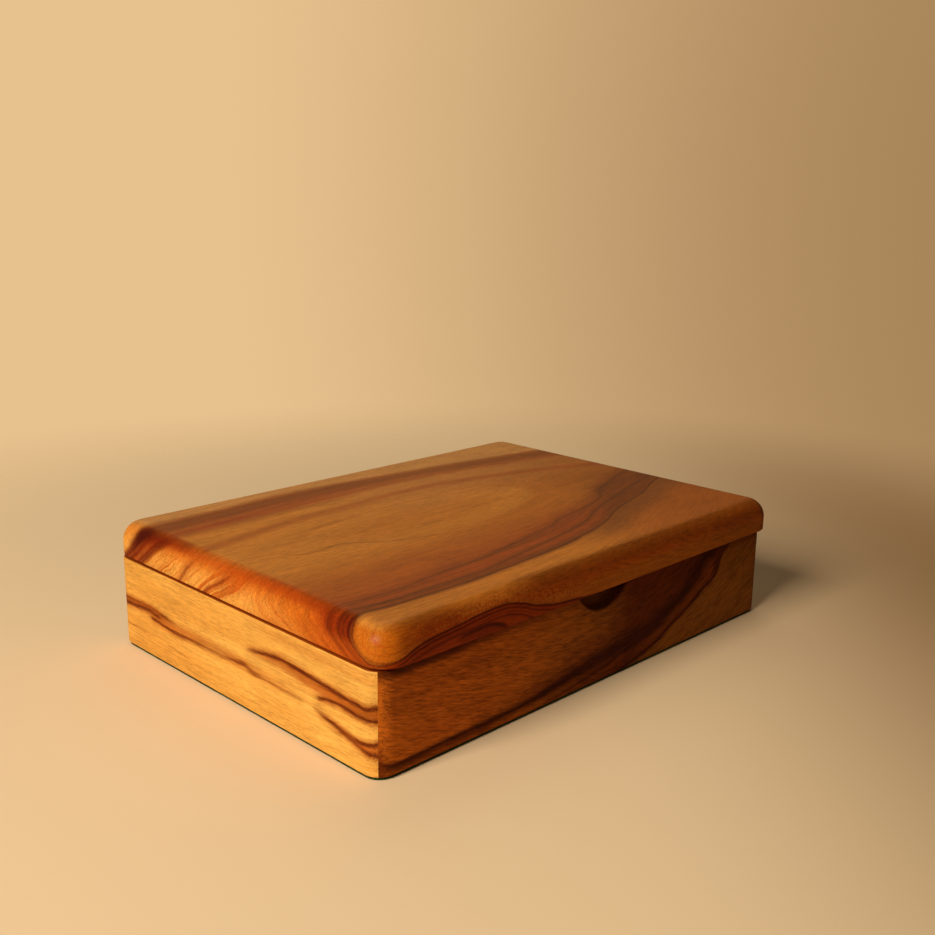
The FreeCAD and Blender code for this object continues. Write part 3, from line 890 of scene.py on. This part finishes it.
def streaked_wood(shader, places, inside, streaks, patches, tones):
    """Wood with drawn streaks. Places run along the board's length, height and thickness.

    Inside is how far a point lies in from the outer face: the painted gap shade reaches down the
    rim's eased inner edge.
    """
    along, across = places[:2]
    gold, amber, halo, dark = tones
    stray, sway = waver(places)
    height = across + stray + 1.6 * (noise(places, RAGGED_SIZE, 3.0, 0.6) - 0.5)
    layers = layering(along, height, 2.2)
    wisps = noise(places, WISP_SIZE, 3.0, 0.6)
    coats = [
        (rise(layers, 0.5, 0.75) * 0.4, amber),
        (rise(layers, 0.58, 0.8) * 0.25, halo),
        (rise(wisps, 0.55, 0.8) * 0.5, amber),
    ]
    for low_points, high_points, strength_points in patches:
        over_low = height - drawn_curve(along, low_points, *BOARD_RANGE)
        under_high = drawn_curve(along, high_points, *BOARD_RANGE) - height
        strength = drawn_curve(along, strength_points) * (0.2 + 1.3 * wisps)
        in_patch = rise(over_low, -PATCH_EDGE_MM, PATCH_EDGE_MM)
        in_patch = in_patch * rise(under_high, -PATCH_EDGE_MM, PATCH_EDGE_MM)
        coats.append((in_patch * strength, halo))
    for line_points, strength_points, half in streaks:
        off = height - drawn_curve(along, line_points, *BOARD_RANGE)
        strength = drawn_curve(along, strength_points) * (0.45 + 1.1 * wisps)
        coats.append((near(off, half * HALO_WIDTHS, half * HALO_WIDTHS) * strength * 0.9, halo))
        coats.append((near(off, half, half) * strength, dark))
    # Painted shade of the gap under the lid, on the top edge.
    coats.append((on_rim(across, INNER_RIM_MM * rise(inside, 3, 5)), GAP_SHADE_TONE))
    # The ground turns amber towards the far end along each board: partly the wood, partly painted
    # shade where the light falls off.
    ground = mix(0.6 * rise(sway, 0.3, 0.7) + 0.6 * rise(along, -60, 110), gold, amber)
    finish_wood(shader, lay(ground, *coats), places, height, PLAIN_GRAIN)


def end_wood(side, streaks, patches):
    shader, (x, y, z) = start_finish(side + "_end_wood", [nodes[side + "_end_board"]])
    streaked_wood(shader, (y, z, x), FRONT_HIGH.x - abs(x), streaks, patches, PALE_WOOD)


def back_wood():
    shader, (x, y, z) = start_finish("back_wood", [nodes["back_board"]])
    streaked_wood(shader, (x, z, y), BACK_FACE - y, BACK_STREAKS, BACK_PATCHES, BROWN_WOOD)


end_wood("left", LEFT_STREAKS, LEFT_PATCHES)
end_wood("right", RIGHT_STREAKS, RIGHT_PATCHES)
back_wood()
print("four boards and the lid have their wood")

# %% [markdown]
# ## The hidden wood
#
# The keys in the mitres and the plywood bottom never show on a whole box. They are finished all the
# same, because the pieces can be taken apart: straight-grained keys, and a bottom whose edge shows
# its thin plies, one pale and one dark in turn.

# %% Keys and plywood
KEY_STREAK_SIZE = (1.2, 1.2, 16.0)
KEY_PALE = (0.50, 0.26, 0.10)
KEY_BROWN = (0.36, 0.16, 0.05)
PLY_PITCH = 2.0
VENEER_SIZE = (55.0, 9.0, 4.0)
PLY_PALE = (0.56, 0.34, 0.16)
PLY_BROWN = (0.34, 0.17, 0.07)


def key_wood():
    shader, (x, y, z) = start_finish("spline_wood", ending_in("_spline"))
    streaks = noise((x, y, z), KEY_STREAK_SIZE, 3.0)
    figure = mix(rise(streaks, 0.35, 0.65), KEY_PALE, KEY_BROWN)
    finish_wood(shader, figure, (z, x, y), x, PLAIN_GRAIN)


def plywood():
    shader, (x, y, z) = start_finish("bottom_ply", [nodes["bottom_panel"]])
    ply = rise(z.math("SINE", z * (2 * math.pi / PLY_PITCH)), -0.2, 0.2)
    veneer = noise((x, y, z), VENEER_SIZE, 3.0)
    figure = mix(ply * 0.6 + 0.4 * rise(veneer, 0.4, 0.65), PLY_PALE, PLY_BROWN)
    finish_wood(shader, figure, (x, y, z), y, PLAIN_GRAIN)


key_wood()
plywood()
print("keys and bottom finished")

# %% [markdown]
# ## Brass
#
# The hinges are drawn brass: the leaves carry fine brush lines along their length and a little
# tarnish in patches. The screws are turned, brighter, and a shade smoother.

# %% Brass
BRASS_BRIGHT = (0.80, 0.52, 0.19)
BRASS_TARNISHED = (0.46, 0.27, 0.09)
BRUSH_SIZE = (8.0, 0.15, 0.15)
BRUSH_RELIEF_MM = 0.01
TARNISH_SIZE = (6.0, 6.0, 6.0)


def brass(name, pieces, base_roughness, tarnish_share):
    shader, places = start_finish(name, pieces)
    brushed = noise(places, BRUSH_SIZE, 3.0, 0.6)
    tarnish = noise(places, TARNISH_SIZE, 4.0, 0.6)
    figure = mix(rise(tarnish, 0.4, 0.75) * tarnish_share, BRASS_BRIGHT, BRASS_TARNISHED)
    colour = shade(figure, 0.85 + 0.3 * brushed)
    roughness = base_roughness + 0.14 * brushed + 0.12 * tarnish
    close_finish(shader, colour, roughness, brushed, BRUSH_RELIEF_MM, {"Metallic": 1.0})


brass("hinge_brass", ending_in("_leaf", "_pin"), 0.18, 0.8)
brass("screw_brass", ending_in("_screws"), 0.12, 0.5)
print("brass on", sum("_hinge_" in name for name in nodes), "hinge nodes")

# %% [markdown]
# ## Felt pieces
#
# Felt is pressed wool: a soft sheet with a matted surface and a slightly ragged cut edge. The
# construction has it as plain blocks, so here each one is made again. A block is cut to size, its
# corners and rims are rounded, it is divided into small faces, and a gentle cloud texture then moves
# the faces that are free to move: the cut edge under the base, and the upper side of the lining.

# %% Selecting by place
SAME_PLACE = 0.01 * MM
UPRIGHT_LEAST = 0.5 * MM
RIM_TURN = math.radians(60)


def select_edges(piece, wanted):
    """Selects the edges of a mesh in edit mode that pass a test."""
    shape = bmesh.from_edit_mesh(piece.data)
    for part in (*shape.verts, *shape.edges, *shape.faces):
        part.select = False
    for edge in shape.edges:
        if wanted(edge):
            edge.select_set(True)
    bmesh.update_edit_mesh(piece.data)


def is_upright(edge):
    start, end = [v.co for v in edge.verts]
    return abs(start.z - end.z) > UPRIGHT_LEAST and abs(start.x - end.x) < SAME_PLACE


def is_level_rim(edge):
    start, end = [v.co for v in edge.verts]
    return edge.calc_face_angle(0.0) > RIM_TURN and abs(start.z - end.z) < SAME_PLACE


print("edge tests ready")

# %% A felt sheet
FELT_RIM_MM = 0.25
RIM_STEPS = 2
CORNER_STEPS = 8
FELT_PITCH_MM = 6.0
SMOOTH_ANGLE = math.radians(40)


def cut_across(normal, low, high, pitch):
    """Cuts a selected mesh into strips along one direction."""
    count = round((high - low) / pitch)
    for i in range(1, count):
        place = low + (high - low) * i / count
        bpy.ops.mesh.select_all(action="SELECT")
        bpy.ops.mesh.bisect(plane_co=[place * n for n in normal], plane_no=normal)


def felt_sheet(name, node, corner_mm):
    """A felt block in the place of a CAD node, rounded and divided into small faces."""
    low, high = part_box(node)
    bpy.ops.mesh.primitive_cube_add(size=1, location=(low + high) / 2)
    felt = bpy.context.object
    felt.name = name
    bpy.ops.transform.resize(value=high - low)
    bpy.ops.object.transform_apply(location=True, rotation=True, scale=True)
    bpy.ops.object.mode_set(mode="EDIT")
    if corner_mm > 0:
        select_edges(felt, is_upright)
        bpy.ops.mesh.bevel(offset=corner_mm * MM, segments=CORNER_STEPS)
    select_edges(felt, is_level_rim)
    bpy.ops.mesh.bevel(offset=FELT_RIM_MM * MM, segments=RIM_STEPS)
    cut_across((1, 0, 0), low.x, high.x, FELT_PITCH_MM * MM)
    cut_across((0, 1, 0), low.y, high.y, FELT_PITCH_MM * MM)
    bpy.ops.object.mode_set(mode="OBJECT")
    return felt, low, high


def ruffle(piece, free, strength_mm, cloud_mm, direction):
    """Moves the free points of a felt piece with a cloud texture, and keeps the result."""
    group = piece.vertex_groups.new(name="free")
    group.add([v.index for v in piece.data.vertices if free(v)], 1.0, "REPLACE")
    clouds = bpy.data.textures.new(piece.name + "_clouds", "CLOUDS")
    clouds.noise_scale = cloud_mm * MM
    displace = piece.modifiers.new("ruffle", "DISPLACE")
    displace.texture = clouds
    displace.texture_coords = "LOCAL"
    displace.vertex_group = group.name
    displace.direction = direction
    displace.mid_level = 1.0
    displace.strength = strength_mm * MM
    bpy.context.view_layer.objects.active = piece
    bpy.ops.object.modifier_apply(modifier=displace.name)
    bpy.ops.object.shade_smooth_by_angle(angle=SMOOTH_ANGLE)


print("felt helpers ready")

# %% [markdown]
# The wool is dyed dark green, and brown for the small dots under the lid. Close to, it is a mat of
# fibres that lie in every direction, with lint and lighter specks in it, so the finish is several
# noises of different size and a soft sheen that a flat colour wouldn't have.

# %% Felt finish
GREEN_WOOL = ((0.010, 0.018, 0.004), (0.032, 0.052, 0.012), (0.16, 0.22, 0.10))
BROWN_WOOL = ((0.022, 0.012, 0.005), (0.070, 0.042, 0.019), (0.26, 0.19, 0.12))
FELT_RELIEF_MM = 0.25
MAT_SIZE = (0.9, 0.9, 0.9)
FIBRE_ALONG_SIZE = (3.2, 0.22, 0.22)
FIBRE_ACROSS_SIZE = (0.22, 3.2, 0.22)
CLOUDY_SIZE = (18.0, 18.0, 18.0)
WOOL = {"Sheen Weight": 0.05, "Sheen Roughness": 0.5, "Specular IOR Level": 0.02}


def felt_finish(piece, name, dye):
    shader, places = start_finish(name, [piece])
    deep, light, lint = dye
    mat = noise(places, MAT_SIZE, 4.0, 0.7)
    along = noise(places, FIBRE_ALONG_SIZE)
    across = noise(places, FIBRE_ACROSS_SIZE)
    fibres = along.math("MAXIMUM", along, across)
    ground = mix(rise(0.6 * mat + 0.4 * fibres, 0.38, 0.68), deep, light)
    figure = lay(ground, (rise(fibres, 0.70, 0.76) * 0.3, lint))
    colour = shade(figure, 0.8 + 0.4 * noise(places, CLOUDY_SIZE))
    close_finish(shader, colour, 0.85 + 0.1 * mat, mat + 0.7 * fibres, FELT_RELIEF_MM, WOOL)


print("felt finish ready")

# %% [markdown]
# The base felt is glued under the bottom and the lower edges of the boards, and its cut edge is the
# thin dark line at the foot of the box. The lining lies inside on the bottom. Each stands for its
# plain block and goes where the box goes.

# %% Base felt and lining
BASE_CORNER_MM = 8.2
EDGE_BAND_MM = 0.5
EDGE_RUFFLE = (0.2, 5.0)
TOP_RUFFLE = (0.5, 22.0)


def dress_felt(piece, slot, dye, node):
    felt_finish(piece, slot, dye)
    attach(piece, "box")
    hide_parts(node)


def make_base_felt():
    felt, low, high = felt_sheet("base_felt_sheet", "base_felt", BASE_CORNER_MM)
    corner = BASE_CORNER_MM * MM
    middle = (low + high) / 2
    reach = (high - low) / 2 - Vector((corner, corner, 0))

    def on_cut_edge(v):
        off = v.co - middle
        beyond = Vector((max(abs(off.x) - reach.x, 0), max(abs(off.y) - reach.y, 0)))
        return beyond.length > corner - EDGE_BAND_MM * MM

    ruffle(felt, on_cut_edge, *EDGE_RUFFLE, "NORMAL")
    dress_felt(felt, "base_felt", GREEN_WOOL, "base_felt")
    return felt


def make_lining():
    felt, low, high = felt_sheet("floor_lining_sheet", "floor_lining", 0)
    ruffle(felt, lambda v: v.co.z > high.z - SAME_PLACE, *TOP_RUFFLE, "Z")
    dress_felt(felt, "lining_felt", GREEN_WOOL, "floor_lining")
    return felt


for felt in (make_base_felt(), make_lining()):
    print(felt.name, "faces", len(felt.data.polygons))

# %% [markdown]
# Two felt dots on the front board take the lid's weight and keep the thin gap under it. A dot is
# punched from a sheet, so it starts as a short cylinder. Its rim is rounded and its face inset into
# two rings, and the second dot is a copy of the first.

# %% Felt buffers
DOT_SIDES = 32
DOT_RIM_MM = 0.4
DOT_RIM_STEPS = 3
DOT_RING_SHARES = (0.3, 0.4)
FACES_UP = 0.9


def punch_dot(low, high, radius):
    """One felt dot, standing at the left end of the pair's box."""
    centre = Vector((low.x + radius, (low.y + high.y) / 2, (low.z + high.z) / 2))
    bpy.ops.mesh.primitive_cylinder_add(
        vertices=DOT_SIDES, radius=radius, depth=high.z - low.z, end_fill_type="NGON", location=centre
    )
    dot = bpy.context.object
    bpy.ops.object.transform_apply(location=True, rotation=True, scale=True)
    bpy.ops.object.mode_set(mode="EDIT")
    select_edges(dot, lambda e: min(v.co.z for v in e.verts) > centre.z)
    bpy.ops.mesh.bevel(offset=DOT_RIM_MM * MM, segments=DOT_RIM_STEPS)
    shape = bmesh.from_edit_mesh(dot.data)
    for face in shape.faces:
        face.select_set(face.normal.z > FACES_UP)
    bmesh.update_edit_mesh(dot.data)
    for share in DOT_RING_SHARES:
        bpy.ops.mesh.inset(thickness=radius * share)
    bpy.ops.object.mode_set(mode="OBJECT")
    return dot


def make_buffers():
    low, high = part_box("lid_buffers")
    radius = (high.y - low.y) / 2
    dot = punch_dot(low, high, radius)
    bpy.ops.object.duplicate()
    bpy.ops.transform.translate(value=(high.x - low.x - 2 * radius, 0, 0))
    bpy.ops.object.transform_apply(location=True, rotation=True, scale=True)
    dot.select_set(True)
    bpy.context.view_layer.objects.active = dot
    bpy.ops.object.join()
    dot.name = "felt_buffers"
    bpy.ops.object.shade_smooth_by_angle(angle=SMOOTH_ANGLE)
    dress_felt(dot, "buffer_felt", BROWN_WOOL, "lid_buffers")
    return dot


buffers = make_buffers()
print(buffers.name, "faces", len(buffers.data.polygons))

# %% [markdown]
# ## Floor and light
#
# The box stands on a plain pale floor, lit by one large soft lamp low at the left, with the floor
# throwing warm light back on the front. The light falls off to the right; on the floor and on the
# pale backdrop that carries on behind it, that falloff is painted shade in their colours. A weak
# second lamp keeps the far sides from going black.

# %% Floor
FLOOR_HALF = 4.0
FLOOR_COLOUR = (0.81, 0.575, 0.320)
FLOOR_SHADE = (0.28, 0.145, 0.052)
FLOOR_SURFACE = {"Roughness": 0.9, "Specular IOR Level": 0.1}
DIM_MM = (60.0, 380.0)
FADE_MM = (230.0, 700.0)


def lay_floor():
    bpy.ops.mesh.primitive_plane_add(size=2 * FLOOR_HALF, location=(0, 0, 0))
    floor = bpy.context.object
    floor.name = "floor"
    shader, (x, y, _) = start_finish("floor", [floor])
    tree = x.tree
    to_right = (x - y) * math.sqrt(0.5)
    # The floor darkens to the right: painted shade for the light falling off.
    colour = mix(rise(to_right, *DIM_MM), FLOOR_COLOUR, FLOOR_SHADE)
    colour.plug(shader, "Base Color")
    for name, value in FLOOR_SURFACE.items():
        shader.inputs[name].default_value = value
    fade = rise(x.math("SQRT", x * x + y * y), *FADE_MM)
    clear = Wire(tree, tree.nodes.new("ShaderNodeBsdfTransparent").outputs[0])
    blend = fade.node("MixShader", None, {0: fade, 1: Wire(tree, shader.outputs[0]), 2: clear})
    output = next(n for n in tree.nodes if n.type == "OUTPUT_MATERIAL")
    blend.plug(output, "Surface")


lay_floor()
print("floor laid, fading out by", FADE_MM[1], "mm")

# %% World and lamps
BACKDROP_BRIGHT = (0.80, 0.535, 0.270)
BACKDROP_SHADE = (0.375, 0.218, 0.094)
BACKDROP_FADE = (0.52, 0.98)
AMBIENT_COLOUR = (1.0, 0.93, 0.82)
AMBIENT_STRENGTH = 0.10
LAMP_COLOUR = (1.0, 0.95, 0.88)
LAMP_AIM = Vector((0.0, 0.0, 0.03))
KEY_LAMP = ("key_lamp", Vector((-1.60, -0.16, 1.10)), 0.75, 43.0)
FILL_LAMP = ("fill_lamp", Vector((0.9, 1.1, 2.0)), 1.2, 5.0)


def light_world():
    world = bpy.data.worlds.new("studio")
    world.use_nodes = True
    bpy.context.scene.world = world
    tree = world.node_tree
    background = next(n for n in tree.nodes if n.type == "BACKGROUND")
    path = tree.nodes.new("ShaderNodeLightPath")
    seen = Wire(tree, path.outputs["Is Camera Ray"])
    for ray in ("Is Glossy Ray", "Is Transmission Ray"):
        seen = seen.math("MAXIMUM", seen, Wire(tree, path.outputs[ray]))
    direction = Wire(tree, tree.nodes.new("ShaderNodeTexCoord").outputs["Generated"])
    to_right = direction.node("SeparateXYZ", None, {0: direction}, 0)
    # The backdrop darkens to the right: painted shade for the light falling off.
    backdrop = mix(rise(to_right, *BACKDROP_FADE), BACKDROP_BRIGHT, BACKDROP_SHADE)
    colour = mix(seen, AMBIENT_COLOUR, backdrop)
    strength = AMBIENT_STRENGTH + (1 - AMBIENT_STRENGTH) * seen
    colour.plug(background, "Color")
    strength.plug(background, "Strength")


def hang_lamp(name, place, size, watts):
    bpy.ops.object.light_add(type="AREA", location=place)
    lamp = bpy.context.object
    lamp.name = name
    lamp.data.size = size
    lamp.data.energy = watts
    lamp.data.color = LAMP_COLOUR
    lamp.rotation_euler = (LAMP_AIM - place).to_track_quat("-Z", "Y").to_euler()


light_world()
for lamp in (KEY_LAMP, FILL_LAMP):
    hang_lamp(*lamp)
bpy.context.scene.view_settings.view_transform = "Standard"
print("world and lamps in place")
